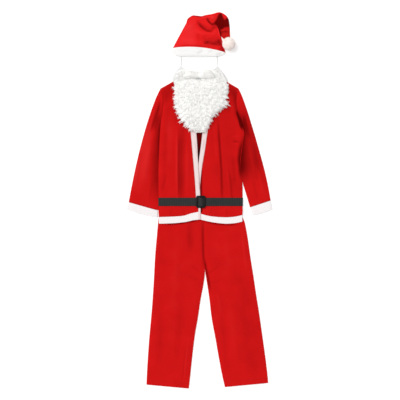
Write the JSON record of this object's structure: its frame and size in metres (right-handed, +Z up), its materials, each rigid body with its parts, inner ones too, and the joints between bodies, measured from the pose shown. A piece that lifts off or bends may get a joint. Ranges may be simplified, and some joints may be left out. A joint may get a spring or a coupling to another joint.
{
  "type": "santa suit",
  "caption": "Santa suit laid out flat: red felt jacket and trousers, webbing belt with a slide buckle, cone hat with a pompom, and a curly beard on an elastic.",
  "frame": {"origin": "on the floor under the middle of the laid-out suit's outline", "axes": "+X towards the wearer's left side, +Y from the trouser hems towards the hat, +Z up from the floor"},
  "size_m": [0.79, 2.028, 0.0686],
  "materials": {
    "suit_felt": "matt red brushed felt",
    "hat_felt": "matt bright red brushed felt",
    "trim_plush": "short white plush nap",
    "pompom_yarn": "soft white plush yarn",
    "beard_backing_cloth": "smooth white knitted backing",
    "beard_hair": "curly warm white synthetic hair with a soft sheen",
    "elastic_webbing": "ribbed white elastic",
    "belt_webbing": "matt charcoal ribbed webbing",
    "buckle_plastic": "moulded black, half gloss"
  },
  "bodies": {
    "root": {"jacket_back": "suit_felt", "jacket_front_right": "suit_felt", "jacket_front_left": "suit_felt", "sleeve_right": "suit_felt", "sleeve_left": "suit_felt", "trouser_front_right": "suit_felt", "trouser_front_left": "suit_felt", "trouser_back_right": "suit_felt", "trouser_back_left": "suit_felt", "trouser_waistband": "suit_felt", "hat_crown": "hat_felt", "front_band_right": "trim_plush", "front_band_left": "trim_plush", "neck_band": "trim_plush", "hem_band_right": "trim_plush", "hem_band_left": "trim_plush", "hem_band_back": "trim_plush", "cuff_right": "trim_plush", "cuff_left": "trim_plush", "hat_brim": "trim_plush", "hat_pompom": "pompom_yarn", "beard_backing": "beard_backing_cloth", "beard_pile": "beard_hair", "moustache": "beard_hair", "beard_elastic": "elastic_webbing", "belt": "belt_webbing", "buckle": "buckle_plastic"}
  },
  "joints": []
}
